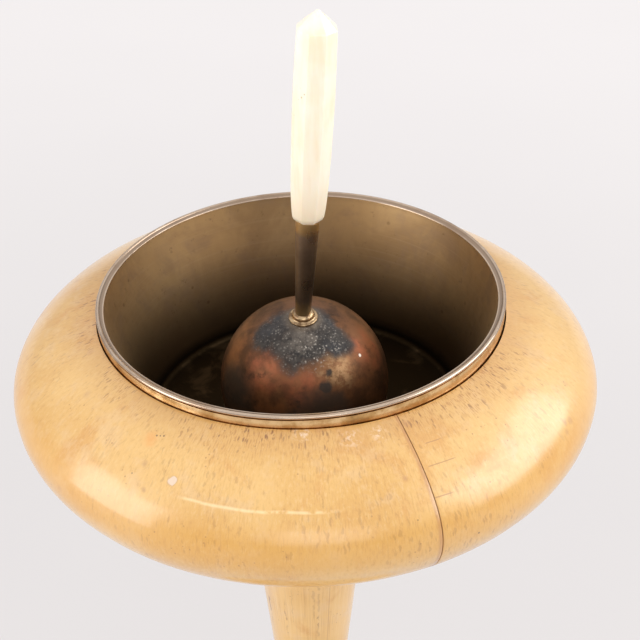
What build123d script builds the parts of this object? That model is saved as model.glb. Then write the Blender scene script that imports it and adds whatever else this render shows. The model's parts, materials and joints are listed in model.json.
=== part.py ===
from build123d import *
from math import acos, asin, degrees

# Floor-standing ashtray: a turned wooden stand covered in lacquered parchment, with a
# lift-out metal bowl, an ash pan under it and a ball-shaped drain valve on a handle.
# Millimetres. Origin on the floor at the stem's axis, +Z up, the viewer at -Y.

# ---- stand -------------------------------------------------------------------------
felt_thickness = 2.5
felt_radius = 108.0

skin = 1.0                  # lacquered parchment
glue = 0.05                 # glue line between wood and parchment
seam_azimuth = -67.0        # the seam that shows at the front right; the other is opposite
seam_gap_deg = 0.16

base_radius = 120.0
base_crown_radius = 30.0    # where the base's dome meets the stem
base_side_height = 14.0     # height of the base's widest circle
base_top_height = 38.0
base_foot_radius = 110.0    # where the parchment turns under

ballast_radius = 75.0
ballast_bottom = 3.0
ballast_top = 12.8
ballast_hole_radius = 20.0
ballast_screw_circle = 48.0
ballast_screw_count = 3

equator = 470.0             # height of the head's widest circle
head_radius = 140.0
crown_centre = 15.0         # the head's upper profile is an ellipse centred at this radius
crown_height = 48.0
belly_centre = 26.0         # the same for the lower profile
belly_height = 52.5

opening_radius = 96.2
opening_centre = (-1.45, -0.7)      # the bore for the bowl is a little off the stem's axis
ledge_height = equator + 28.6
well_radius = 92.8
well_floor = equator - 31.0
pan_well_radius = 68.5
pan_well_floor = equator - 41.5

stem_profile = [
    (29.6, base_top_height - 0.9),
    (22.5, 62.0),
    (17.2, 95.0),
    (14.0, 140.0),
    (13.4, 185.0),
    (15.2, 235.0),
    (18.4, 272.0),
    (21.6, 304.0),
    (26.3, 350.0),
    (35.0, equator - belly_height + skin),
]
spigot_radius = 13.0
lower_spigot_radius = 14.0
lower_spigot_bottom = 22.0

rod_radius = 4.0
rod_bottom = 3.6
rod_top = equator - 36.0
nut_across_flats = 13.0
clamp_washer_radius = 25.0
clamp_washer_thickness = 1.9
base_washer_radius = 15.0

# ---- bowl --------------------------------------------------------------------------
# The bowl is drawn upright on the axis; the loose bowl then sits a little cocked in the wood,
# low at the front and at the left, turned about the middle of the ball in its drain.
bowl_shift = -0.6           # towards -X
bowl_raise = 1.0
bowl_lean_front = 0.9       # degrees
bowl_lean_left = 1.1        # degrees

lip_radius = 95.9
lip_bead = 1.0              # radius of the rolled edge
lip_top = equator + 43.0
wall_head_radius = 92.1
wall_head = lip_top - 1.4   # the lip slopes up from here to its rolled edge
bowl_wall = 1.2
bowl_floor = equator - 28.5
bowl_floor_radius = 74.4
bowl_corner = 3.0
drain_radius = 38.05
band_radius = 95.6
band_sheet = 0.9
band_foot = equator + 30.1
band_top = lip_top - 2.2

# ---- ash pan -----------------------------------------------------------------------
pan_radius = 67.6
pan_sheet = 0.9
pan_bottom = pan_well_floor + 0.1
pan_rim = equator - 31.9
pan_boss_top = equator - 34.1

# ---- drain valve -------------------------------------------------------------------
ball_radius = 41.0
ball_wall = 1.2
ball_height = equator - 9.0 # height of the ball's centre in the upright bowl
ball_centre = (bowl_shift, 0.0, ball_height + bowl_raise)
ball_cut = -26.0            # the ball is open below this level, along its own axis
seat_clearance = 0.3
ball_lean = 8.5             # degrees the ball has rocked towards -Y in its seat

tenon_radius = 3.0
flange_radius = 6.9
flange_top = 44.6

# The spindle is bent just above the collar, so its rod and the handle stand nearly upright.
# Heights below are measured from that bend, along the rod.
rod_lean_front = 1.5        # degrees towards -Y
rod_lean_right = 3.3        # degrees towards +X
spindle_foot_radius = 3.7
spindle_head_radius = 5.6
handle_bottom = 50.0
handle_bore_depth = 22.0
insert_radius = 4.5

# Half-widths of the handle across its flats, at heights above the bend.
handle_sections = [
    (handle_bottom, 5.2),
    (50.9, 6.3),
    (53.0, 7.1),
    (58.0, 7.7),
    (69.0, 8.35),
    (99.0, 8.95),
    (120.0, 8.85),
    (141.5, 8.4),
]
handle_tip = 149.4
handle_sides = 8
handle_turn = 24.0          # degrees the facets are turned about the handle's axis


# ---- helpers -----------------------------------------------------------------------
def lathe(*edges, arc=360.0):
    """Turn a closed outline, drawn as (radius, height), about the vertical axis."""
    section = Plane.XZ * make_face(Curve() + list(edges))
    return revolve(section, Axis.Z, revolution_arc=arc)


def lathe_points(points, arc=360.0):
    return lathe(Polyline(*points, close=True), arc=arc)


def ring(outer, inner, bottom, top):
    return lathe_points([(inner, bottom), (outer, bottom), (outer, top), (inner, top)])


def ellipse_angle(centre, half_width, radius):
    """Ellipse parameter, in degrees, of the point at this distance from the axis."""
    return degrees(acos((radius - centre) / half_width))


def sphere_arc(radius, start, end, centre_height=0.0):
    """Arc of a sphere's outline between two angles above the sphere's equator."""
    return CenterArc((0, centre_height), radius, start, end - start)


def hex_nut(across_flats, bore, bottom, top):
    body = extrude(RegularPolygon(across_flats / 2, 6, major_radius=False), top - bottom)
    hole = extrude(Circle(bore), top - bottom)
    return Pos(0, 0, bottom) * (body - hole)


def half_panel(section_edges, index):
    """One of two equal covering panels, butted at the seams with a hairline gap."""
    panel = lathe(*section_edges, arc=180.0 - seam_gap_deg)
    turn = seam_azimuth + seam_gap_deg / 2 + 180.0 * index
    return Rot(0, 0, turn) * panel


def save(node, shape):
    export_step(shape, f"parts/{node}.step")


# ---- base --------------------------------------------------------------------------
def felt_pad():
    return extrude(Circle(felt_radius), felt_thickness)


def base_outline(inset):
    """Dome and rolled edge of the base, moved inwards by an inset: top arc and edge arc."""
    top = EllipticalCenterArc(
        (base_crown_radius, base_side_height),
        base_radius - base_crown_radius - inset,
        base_top_height - base_side_height - inset,
        0, arc_size=90,
    )
    edge = EllipticalCenterArc(
        (base_foot_radius, base_side_height),
        base_radius - base_foot_radius - inset,
        base_side_height - felt_thickness - inset,
        -90, arc_size=90,
    )
    return top, edge


def base_covering(index):
    outer_top, outer_edge = base_outline(0)
    inner_top, inner_edge = base_outline(skin)
    neck = Line((base_crown_radius, base_top_height - skin), (base_crown_radius, base_top_height))
    foot = Line((base_foot_radius, felt_thickness), (base_foot_radius, felt_thickness + skin))
    return half_panel([outer_top, outer_edge, inner_top, inner_edge, neck, foot], index)


def ballast_screw(clearance=0.0):
    head_radius_here = 4.8 + clearance
    shank = 2.2 + clearance
    return lathe_points([
        (0, ballast_bottom + 0.1 - clearance),
        (head_radius_here, ballast_bottom + 0.1 - clearance),
        (shank, ballast_bottom + 2.8),
        (shank, 22.0),
        (0, 25.0 + clearance),
    ])


def around_ballast(shape):
    return PolarLocations(ballast_screw_circle, ballast_screw_count) * shape


def base_core():
    top, edge = base_outline(skin + glue)
    crown = base_top_height - skin - glue
    foot = felt_thickness + skin + glue
    recess = ballast_radius + 0.3
    lower = Polyline(
        (base_foot_radius, foot),
        (base_foot_radius - glue, foot),
        (base_foot_radius - glue, felt_thickness),
        (recess, felt_thickness),
        (recess, 13.0),
        (rod_radius + 0.3, 13.0),
        (rod_radius + 0.3, lower_spigot_bottom - 0.1),
        (lower_spigot_radius + 0.05, lower_spigot_bottom - 0.1),
        (lower_spigot_radius + 0.05, crown),
        (base_crown_radius, crown),
    )
    core = lathe(top, edge, lower)
    for hole in around_ballast(ballast_screw(0.05)):
        core -= hole
    return core


def ballast_disc():
    disc = ring(ballast_radius, ballast_hole_radius, ballast_bottom, ballast_top)
    for hole in around_ballast(ballast_screw(0.15)):
        disc -= hole
    return disc


# ---- stem --------------------------------------------------------------------------
def stem_side(inset):
    return Spline(*[(radius - inset, height) for radius, height in stem_profile])


def stem_covering():
    outer = stem_side(0)
    inner = stem_side(skin)
    bottom = Line(outer @ 0, inner @ 0)
    top = Line(outer @ 1, inner @ 1)
    sleeve = lathe(outer, inner, bottom, top, arc=359.0)
    return Rot(0, 0, seam_azimuth + 180.5) * sleeve


def stem_core():
    side = stem_side(skin + glue)
    shoulder_low = stem_profile[0][1]
    shoulder_high = stem_profile[-1][1]
    hole = rod_radius + 0.3
    inside = Polyline(
        side @ 1,
        (spigot_radius, shoulder_high),
        (spigot_radius, pan_well_floor - 2.0),
        (hole, pan_well_floor - 2.0),
        (hole, lower_spigot_bottom),
        (lower_spigot_radius, lower_spigot_bottom),
        (lower_spigot_radius, shoulder_low),
        side @ 0,
    )
    return lathe(side, inside)


# ---- head --------------------------------------------------------------------------
def crown_arc(inset, end_radius):
    """Upper profile of the head, from the widest circle in to the given radius."""
    half_width = head_radius - crown_centre - inset
    end = ellipse_angle(crown_centre, half_width, end_radius)
    centre = (crown_centre, equator)
    return EllipticalCenterArc(centre, half_width, crown_height - inset, 0, arc_size=end)


def belly_arc(inset, end_radius):
    """Lower profile of the head, from the widest circle in to the given radius."""
    half_width = head_radius - belly_centre - inset
    end = ellipse_angle(belly_centre, half_width, end_radius)
    centre = (belly_centre, equator)
    return EllipticalCenterArc(centre, half_width, belly_height - inset, -end, arc_size=end)


def head_covering(index):
    neck_radius = stem_profile[-1][0] + 0.4
    outer_crown = crown_arc(0, opening_radius - 3.0)
    inner_crown = crown_arc(skin, opening_radius - 3.0)
    outer_belly = belly_arc(0, neck_radius)
    inner_belly = belly_arc(skin, neck_radius)
    mouth = Line(outer_crown @ 1, inner_crown @ 1)
    neck = Line(outer_belly @ 0, inner_belly @ 0)
    edges = [outer_crown, inner_crown, outer_belly, inner_belly, mouth, neck]
    return half_panel(edges, index) - bore(opening_radius, ledge_height)


def bore(radius, bottom):
    """Cylinder that cuts the bowl's opening from this height upwards."""
    depth = 100.0
    return Pos(*opening_centre, bottom + depth / 2) * Cylinder(radius, depth)


def head_upper_core():
    crown = crown_arc(skin + glue, well_radius - 4.0)
    inside = Polyline(
        crown @ 1,
        (well_radius - 4.0, equator),
        crown @ 0,
    )
    return lathe(crown, inside) - bore(well_radius, equator) - bore(opening_radius, ledge_height)


def head_lower_core():
    belly = belly_arc(skin + glue, belly_centre)
    washer_recess = clamp_washer_radius + 0.2
    inside = Polyline(
        belly @ 0,
        (spigot_radius + 0.05, equator - belly_height + skin + glue),
        (spigot_radius + 0.05, pan_well_floor - 2.0),
        (washer_recess, pan_well_floor - 2.0),
        (washer_recess, pan_well_floor),
        (pan_well_radius, pan_well_floor),
        (pan_well_radius, well_floor),
        (well_radius, well_floor),
        (well_radius, equator),
        belly @ 1,
    )
    return lathe(belly, inside)


# ---- ash pan -----------------------------------------------------------------------
def ash_pan():
    """Shallow spun dish; its middle is pushed up over the clamp nut."""
    floor = pan_bottom + pan_sheet
    return lathe_points([
        (0, pan_boss_top - pan_sheet),
        (14.0, pan_boss_top - pan_sheet),
        (24.0, pan_bottom),
        (pan_radius - 2.5, pan_bottom),
        (pan_radius - 0.5, pan_bottom + 1.2),
        (pan_radius, pan_rim),
        (pan_radius - pan_sheet, pan_rim),
        (pan_radius - pan_sheet - 0.5, pan_bottom + 1.6),
        (pan_radius - 2.9, floor),
        (24.6, floor),
        (14.3, pan_boss_top),
        (0, pan_boss_top),
    ])


# ---- bowl --------------------------------------------------------------------------
corner_height = bowl_floor + bowl_corner
wall_foot_radius = bowl_floor_radius + bowl_corner
bowl_frame = Pos(*ball_centre) * Rot(bowl_lean_front, -bowl_lean_left, 0) * Pos(0, 0, -ball_height)


def wall_radius(height):
    """Inside radius of the bowl's sloping wall."""
    rise = (height - corner_height) / (wall_head - corner_height)
    return wall_foot_radius + (wall_head_radius - wall_foot_radius) * rise


def bowl_shell():
    corner = (bowl_floor_radius, corner_height)
    inner_corner = CenterArc(corner, bowl_corner, -90, 90)
    outer_corner = CenterArc(corner, bowl_corner + bowl_wall, -90, 90)
    bead = CenterArc((lip_radius - lip_bead, lip_top - lip_bead), lip_bead, -90, 225)
    return lathe(
        Line((drain_radius, bowl_floor), inner_corner @ 0),
        inner_corner,
        Polyline(
            inner_corner @ 1,
            (wall_head_radius, wall_head),
            bead @ 1,
        ),
        bead,
        Polyline(
            bead @ 0,
            (93.5, lip_top - 2.75),
            (wall_radius(lip_top - 3.0) + bowl_wall, lip_top - 3.0),
            outer_corner @ 1,
        ),
        outer_corner,
        Polyline(
            outer_corner @ 0,
            (drain_radius, bowl_floor - bowl_wall),
            (drain_radius, bowl_floor),
        ),
    )


def rim_band():
    """Hoop soldered under the lip; its inturned foot rests on the ledge in the wood."""
    foot_inside = wall_radius(band_foot + band_sheet) + bowl_wall + 0.1
    band_inside = band_radius - band_sheet
    return lathe_points([
        (foot_inside, band_foot),
        (band_radius, band_foot),
        (band_radius, band_top),
        (band_inside, band_top),
        (band_inside, band_foot + band_sheet),
        (foot_inside, band_foot + band_sheet),
    ])


def drain_seat():
    """Ring soldered in the drain hole, hollowed to the ball's curve."""
    seat_radius = ball_radius + seat_clearance
    centre_height = ball_height
    top = bowl_floor + 1.2
    bottom = bowl_floor - 2.5
    high_angle = degrees(asin((top - centre_height) / seat_radius))
    low_angle = degrees(asin((bottom - centre_height) / seat_radius))
    seat = sphere_arc(seat_radius, low_angle, high_angle, centre_height)
    rest = Polyline(
        seat @ 1,
        (41.5, top),
        (41.5, bowl_floor + 0.05),
        (drain_radius - 0.05, bowl_floor + 0.05),
        (drain_radius - 0.05, bottom),
        seat @ 0,
    )
    return lathe(seat, rest)


# ---- drain valve, drawn upright and then leaned ----------------------------------------
ball_frame = Pos(*ball_centre) * Rot(ball_lean, 0, 0)
bend = (ball_frame * Pos(0, 0, flange_top)).position
rod_frame = Pos(*bend) * Rot(rod_lean_front, rod_lean_right, 0)


def ball_shell(low_angle, high_angle):
    inner_radius = ball_radius - ball_wall
    outer = sphere_arc(ball_radius, low_angle, high_angle)
    inner = sphere_arc(inner_radius, low_angle, high_angle)
    return lathe(outer, inner, Line(outer @ 0, inner @ 0), Line(outer @ 1, inner @ 1))


def ball_upper():
    hole_angle = degrees(acos((tenon_radius + 0.2) / ball_radius))
    return ball_shell(0, hole_angle)


def ball_lower():
    cut_angle = degrees(asin(ball_cut / ball_radius))
    return ball_shell(cut_angle, 0)


def spindle_flange():
    """Turned brass collar: a thin disc cupped to sit on the ball, with a domed boss."""
    under = ball_radius + 0.05
    hole = tenon_radius + 0.05
    start = degrees(acos(flange_radius / under))
    end = degrees(acos(hole / under))
    cup = sphere_arc(under, start, end)
    boss = ThreePointArc((5.3, 41.9), (4.9, 43.6), (3.9, flange_top - 0.1))
    side = Polyline(
        cup @ 0,
        (flange_radius, 41.3),
        (6.5, 41.7),
        boss @ 0,
    )
    rest = Polyline(
        boss @ 1,
        (hole, flange_top - 0.1),
        cup @ 1,
    )
    return lathe(cup, side, boss, rest)


def spindle():
    """Threaded tenon through the ball, and the tapered rod bent upright above the collar."""
    head = handle_bottom - 0.1
    tenon = ball_frame * lathe_points([
        (0, 30.0),
        (tenon_radius, 30.0),
        (tenon_radius, flange_top + 1.5),
        (0, flange_top + 1.5),
    ])
    rod = rod_frame * lathe_points([
        (0, -1.5),
        (spindle_foot_radius, -1.5),
        (spindle_foot_radius, 0),
        (spindle_head_radius, head),
        (tenon_radius, head),
        (tenon_radius, head + 20.0),
        (0, head + 20.0),
    ])
    below_collar = ball_frame * Pos(0, 0, flange_top - 5.0) * Cylinder(12.0, 10.0)
    return tenon + (rod - below_collar)


def polygon_face(half_width, height):
    flat = RegularPolygon(half_width, handle_sides, major_radius=False)
    return Pos(0, 0, height) * Rot(0, 0, handle_turn) * flat


def handle():
    sections = [polygon_face(half_width, height) for height, half_width in handle_sections]
    grip = loft(sections, ruled=True)
    top_height, top_half = handle_sections[-1]
    tip = loft([polygon_face(top_half, top_height), polygon_face(0.5, handle_tip)])
    bore = ring(insert_radius + 0.05, 0, handle_bottom, handle_bottom + handle_bore_depth)
    return grip + tip - bore


def handle_insert():
    low = handle_bottom + 0.4
    high = handle_bottom + handle_bore_depth - 0.3
    return ring(insert_radius, tenon_radius + 0.05, low, high)


# ---- write every piece -----------------------------------------------------------------
save("base_felt_pad", felt_pad())
save("base_wood_core", base_core())
save("base_parchment_right", base_covering(0))
save("base_parchment_left", base_covering(1))
save("base_ballast_disc", ballast_disc())
save("ballast_screws", Compound(children=list(around_ballast(ballast_screw()))))

save("stem_wood_core", stem_core())
save("stem_parchment", stem_covering())

save("tie_rod", ring(rod_radius, 0, rod_bottom, rod_top))
save("base_washer", ring(base_washer_radius, rod_radius + 0.1, 11.0, 13.0))
save("base_nut", hex_nut(nut_across_flats, rod_radius + 0.05, 4.6, 11.0))
washer_bottom = pan_well_floor - 2.0
washer_top = washer_bottom + clamp_washer_thickness
save("clamp_washer", ring(clamp_washer_radius, rod_radius + 0.1, washer_bottom, washer_top))
save("clamp_nut", hex_nut(nut_across_flats, rod_radius + 0.05, washer_top, washer_top + 4.6))

save("head_wood_lower", head_lower_core())
save("head_wood_upper", head_upper_core())
save("head_parchment_right", head_covering(0))
save("head_parchment_left", head_covering(1))

save("ash_pan", ash_pan())

save("bowl_shell", bowl_frame * bowl_shell())
save("bowl_rim_band", bowl_frame * rim_band())
save("drain_seat_ring", bowl_frame * drain_seat())

save("ball_upper_shell", ball_frame * ball_upper())
save("ball_lower_shell", ball_frame * ball_lower())
save("spindle_flange", ball_frame * spindle_flange())
save("spindle", spindle())
save("spindle_washer", ball_frame * ring(7.0, tenon_radius + 0.1, 37.8, 39.05))
save("spindle_nut", ball_frame * hex_nut(10.0, tenon_radius + 0.05, 32.6, 37.8))
save("handle", rod_frame * handle())
save("handle_insert", rod_frame * handle_insert())
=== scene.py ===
import json
from math import acos, asin, cos, degrees, radians, sin

import bpy
from mathutils import Matrix, Vector, noise
from numpy import array, linalg, linspace, zeros

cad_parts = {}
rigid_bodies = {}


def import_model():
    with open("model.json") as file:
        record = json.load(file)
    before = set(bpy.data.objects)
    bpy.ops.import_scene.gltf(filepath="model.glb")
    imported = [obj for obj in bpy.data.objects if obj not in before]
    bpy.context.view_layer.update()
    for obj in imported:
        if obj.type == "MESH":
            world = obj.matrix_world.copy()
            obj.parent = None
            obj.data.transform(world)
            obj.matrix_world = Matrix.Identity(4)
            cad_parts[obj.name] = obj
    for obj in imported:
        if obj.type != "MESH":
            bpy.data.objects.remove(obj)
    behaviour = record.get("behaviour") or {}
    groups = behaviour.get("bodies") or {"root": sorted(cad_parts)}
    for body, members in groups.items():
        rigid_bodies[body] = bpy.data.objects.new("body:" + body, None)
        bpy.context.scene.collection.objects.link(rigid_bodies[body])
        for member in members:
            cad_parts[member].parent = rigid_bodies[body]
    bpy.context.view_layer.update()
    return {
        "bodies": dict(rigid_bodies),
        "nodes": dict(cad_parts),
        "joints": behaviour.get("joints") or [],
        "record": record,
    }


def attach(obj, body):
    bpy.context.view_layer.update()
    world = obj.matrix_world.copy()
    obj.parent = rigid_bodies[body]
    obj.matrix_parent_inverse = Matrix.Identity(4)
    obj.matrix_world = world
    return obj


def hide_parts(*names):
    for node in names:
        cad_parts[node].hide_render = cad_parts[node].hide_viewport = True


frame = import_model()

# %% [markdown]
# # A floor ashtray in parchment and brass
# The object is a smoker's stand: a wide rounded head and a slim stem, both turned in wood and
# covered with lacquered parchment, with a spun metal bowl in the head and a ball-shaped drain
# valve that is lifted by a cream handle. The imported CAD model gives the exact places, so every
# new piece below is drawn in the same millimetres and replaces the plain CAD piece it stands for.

nodes = frame["nodes"]
MM = 0.001
print("CAD nodes:", len(nodes))

# %% [markdown]
# ## Working habits
# Blender's operators act on whatever is selected. Right after loading, all the CAD nodes are
# selected, so a small helper first clears the selection and then picks the one object to work on.

# %% Select one object and nothing else
def only(piece):
    bpy.ops.object.select_all(action="DESELECT")
    piece.select_set(True)
    bpy.context.view_layer.objects.active = piece


bpy.ops.object.select_all(action="DESELECT")
print("selected now:", len(bpy.context.selected_objects))

# %% [markdown]
# ## Turning, the way a lathe does it
# Nearly every piece here was turned or spun, so it is fully described by half of its outline. A
# tiny plane is added and merged to one point, the point is extruded from corner to corner to
# draw the outline, and Spin carries the outline round the axis. Vertex mode is set first,
# because the mode is remembered from the last piece, and in face mode a lone point can't be
# selected. Doubles are merged before the normals are recalculated, because Spin leaves a double
# row where it meets its start.

# %% Draw an outline point by point and spin it
def turned(name, outline, steps=192, sweep=360.0, start=0.0):
    first = outline[0]
    place = (first[0] * MM, 0, first[1] * MM)
    bpy.ops.object.select_all(action="DESELECT")
    bpy.ops.mesh.primitive_plane_add(size=0.0001, location=place)
    piece = bpy.context.active_object
    piece.name = name
    bpy.ops.object.mode_set(mode="EDIT")
    bpy.ops.mesh.select_mode(type="VERT")
    bpy.ops.mesh.select_all(action="SELECT")
    bpy.ops.mesh.merge(type="CENTER")
    for here, there in zip(outline, outline[1:]):
        step = ((there[0] - here[0]) * MM, 0, (there[1] - here[1]) * MM)
        bpy.ops.mesh.extrude_region_move(TRANSFORM_OT_translate={"value": step})
    bpy.ops.mesh.select_all(action="SELECT")
    bpy.ops.mesh.spin(steps=steps, angle=radians(sweep), center=(0, 0, 0), axis=(0, 0, 1))
    bpy.ops.mesh.select_all(action="SELECT")
    bpy.ops.mesh.remove_doubles(threshold=0.000004)
    bpy.ops.mesh.normals_make_consistent(inside=False)
    bpy.ops.object.mode_set(mode="OBJECT")
    bpy.ops.object.transform_apply(location=True, rotation=True, scale=True)
    piece.rotation_euler.z = radians(start)
    bpy.ops.object.transform_apply(location=True, rotation=True, scale=True)
    print(name, "faces:", len(piece.data.polygons))
    return piece


def modify(piece, kind, **settings):
    only(piece)
    modifier = piece.modifiers.new(kind.title(), kind)
    for key, value in settings.items():
        setattr(modifier, key, value)
    bpy.ops.object.modifier_apply(modifier=modifier.name)


def soften_edges(piece, width=0.25, segments=2, above=35):
    modify(piece, "BEVEL", width=width * MM, segments=segments, limit_method="ANGLE",
           angle_limit=radians(above), harden_normals=False)


def smooth(piece, above=40):
    only(piece)
    bpy.ops.object.shade_smooth_by_angle(angle=radians(above))


# %% [markdown]
# ## Outlines from simple curves
# The head and the base are ellipses in section, the bowl has a round corner and the ball is a
# sphere. One helper samples any of these as a run of points, so that a run can be chained with
# straight corners to make a full outline.

# %% Sample an ellipse between two angles
def run(centre_radius, centre_height, half_width, half_height, start, end, count):
    points = []
    for i in range(count + 1):
        angle = radians(start + (end - start) * i / count)
        points.append((centre_radius + half_width * cos(angle), centre_height + half_height * sin(angle)))
    return points


EQUATOR = 470.0
print("widest circle of the head is", EQUATOR, "mm above the floor")

# %% [markdown]
# ## Materials are built from the same few nodes
# A finish is made of layers: a ground colour, slow clouds of variation, fine grain, and marks
# from use. Each layer is a noise, a ramp that turns it into a mask, and a mix. These helpers keep
# the material cells short. The patterns read Object coordinates, which are metres here, so a
# noise scale of 1000 gives features about a millimetre across.

# %% Small helpers for node trees
class Finish:
    """A material with its node tree and Principled shader at hand."""

    def __init__(self, name, roughness=0.5, metallic=0.0):
        self.material = bpy.data.materials.new(name)
        self.material.use_nodes = True
        self.tree = self.material.node_tree
        self.shader = self.tree.nodes["Principled BSDF"]
        self.shader.inputs["Roughness"].default_value = roughness
        self.shader.inputs["Metallic"].default_value = metallic
        self.coordinates = self.tree.nodes.new("ShaderNodeTexCoord").outputs["Object"]

    def set(self, **values):
        for key, value in values.items():
            self.shader.inputs[key.replace("_", " ")].default_value = value

    def join(self, source, target):
        self.tree.links.new(source, target)

    def stretched(self, x=1.0, y=1.0, z=1.0, vector=None):
        mapping = self.tree.nodes.new("ShaderNodeMapping")
        mapping.inputs["Scale"].default_value = (x, y, z)
        self.join(vector or self.coordinates, mapping.inputs["Vector"])
        return mapping.outputs["Vector"]

    def noise(self, scale, detail=4.0, roughness=0.55, vector=None, distortion=0.0):
        texture = self.tree.nodes.new("ShaderNodeTexNoise")
        texture.inputs["Scale"].default_value = scale
        texture.inputs["Detail"].default_value = detail
        texture.inputs["Roughness"].default_value = roughness
        texture.inputs["Distortion"].default_value = distortion
        self.join(vector or self.coordinates, texture.inputs["Vector"])
        return texture.outputs["Fac"]

    def cells(self, scale, vector=None, feature="F1", randomness=1.0):
        texture = self.tree.nodes.new("ShaderNodeTexVoronoi")
        texture.feature = feature
        texture.inputs["Scale"].default_value = scale
        texture.inputs["Randomness"].default_value = randomness
        self.join(vector or self.coordinates, texture.inputs["Vector"])
        return texture.outputs["Distance"]

    def mask(self, value, low, high):
        """0 below low, 1 above high; the other way round when low is larger."""
        reach = self.tree.nodes.new("ShaderNodeMapRange")
        reach.interpolation_type = "SMOOTHSTEP"
        swap = low > high
        reach.inputs["From Min"].default_value = min(low, high)
        reach.inputs["From Max"].default_value = max(low, high)
        reach.inputs["To Min"].default_value = 1.0 if swap else 0.0
        reach.inputs["To Max"].default_value = 0.0 if swap else 1.0
        self.join(value, reach.inputs["Value"])
        return reach.outputs["Result"]

    def maths(self, operation, first, second=None):
        node = self.tree.nodes.new("ShaderNodeMath")
        node.operation = operation
        for socket, value in zip(node.inputs, (first, second)):
            if value is None:
                continue
            if isinstance(value, (int, float)):
                socket.default_value = value
            else:
                self.join(value, socket)
        return node.outputs["Value"]

    def times(self, first, second):
        return self.maths("MULTIPLY", first, second)

    def layer(self, under, over, factor):
        mix = self.tree.nodes.new("ShaderNodeMix")
        mix.data_type = "RGBA"
        colour_a = [s for s in mix.inputs if s.name == "A" and s.type == "RGBA"][0]
        colour_b = [s for s in mix.inputs if s.name == "B" and s.type == "RGBA"][0]
        for value, socket in ((under, colour_a), (over, colour_b)):
            if isinstance(value, tuple):
                socket.default_value = (*value, 1.0)
            else:
                self.join(value, socket)
        if isinstance(factor, (int, float)):
            mix.inputs["Factor"].default_value = factor
        else:
            self.join(factor, mix.inputs["Factor"])
        return [s for s in mix.outputs if s.type == "RGBA"][0]

    def parts(self, vector=None):
        split = self.tree.nodes.new("ShaderNodeSeparateXYZ")
        self.join(vector or self.coordinates, split.inputs["Vector"])
        return split.outputs["X"], split.outputs["Y"], split.outputs["Z"]

    def vector(self, x, y, z=0.0):
        combine = self.tree.nodes.new("ShaderNodeCombineXYZ")
        for socket, value in zip(combine.inputs, (x, y, z)):
            if isinstance(value, (int, float)):
                socket.default_value = value
            else:
                self.join(value, socket)
        return combine.outputs["Vector"]

    def ranged(self, value, low, high):
        reach = self.tree.nodes.new("ShaderNodeMapRange")
        reach.inputs["To Min"].default_value = low
        reach.inputs["To Max"].default_value = high
        self.join(value, reach.inputs["Value"])
        return reach.outputs["Result"]

    def colour(self, socket):
        self.join(socket, self.shader.inputs["Base Color"])

    def rough(self, value, low, high):
        self.join(self.ranged(value, low, high), self.shader.inputs["Roughness"])

    def bump(self, height, depth_mm, strength=1.0, after=None):
        bump = self.tree.nodes.new("ShaderNodeBump")
        bump.inputs["Strength"].default_value = strength
        bump.inputs["Distance"].default_value = depth_mm * MM
        self.join(height, bump.inputs["Height"])
        if after:
            self.join(after, bump.inputs["Normal"])
        self.join(bump.outputs["Normal"], self.shader.inputs["Normal"])
        return bump.outputs["Normal"]

    def near(self, place, wobble_scale=0.0, wobble=0.0):
        """Distance in metres from a place, made ragged by a noise."""
        spot = self.tree.nodes.new("ShaderNodeVectorMath")
        spot.operation = "DISTANCE"
        self.join(self.coordinates, spot.inputs[0])
        spot.inputs[1].default_value = place
        if not wobble:
            return spot.outputs["Value"]
        ragged = self.noise(wobble_scale, 4.0, 0.6)
        return self.maths("ADD", spot.outputs["Value"], self.times(ragged, wobble))


def put_on(finish, *pieces):
    for piece in pieces:
        piece.data.materials.clear()
        piece.data.materials.append(finish.material)


print("material helpers ready")

# %% [markdown]
# ## Parchment under lacquer
# Parchment is scraped goat skin. It is stretched wet over the wood, glued, dyed and given many
# coats of clear lacquer, so it has a golden, slightly cloudy ground, short brown hair marks that
# run the way the skin was stretched, and a hard gloss. The marks are made in round-the-axis
# coordinates: the angle round the stem and the angle over the bulge. A noise squeezed one way in
# those coordinates becomes fine strokes that run from the rim outwards. The lacquer is the
# shader's coat, a second gloss layer on top.

# %% The parchment finish
SEAM = -67.0


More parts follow.
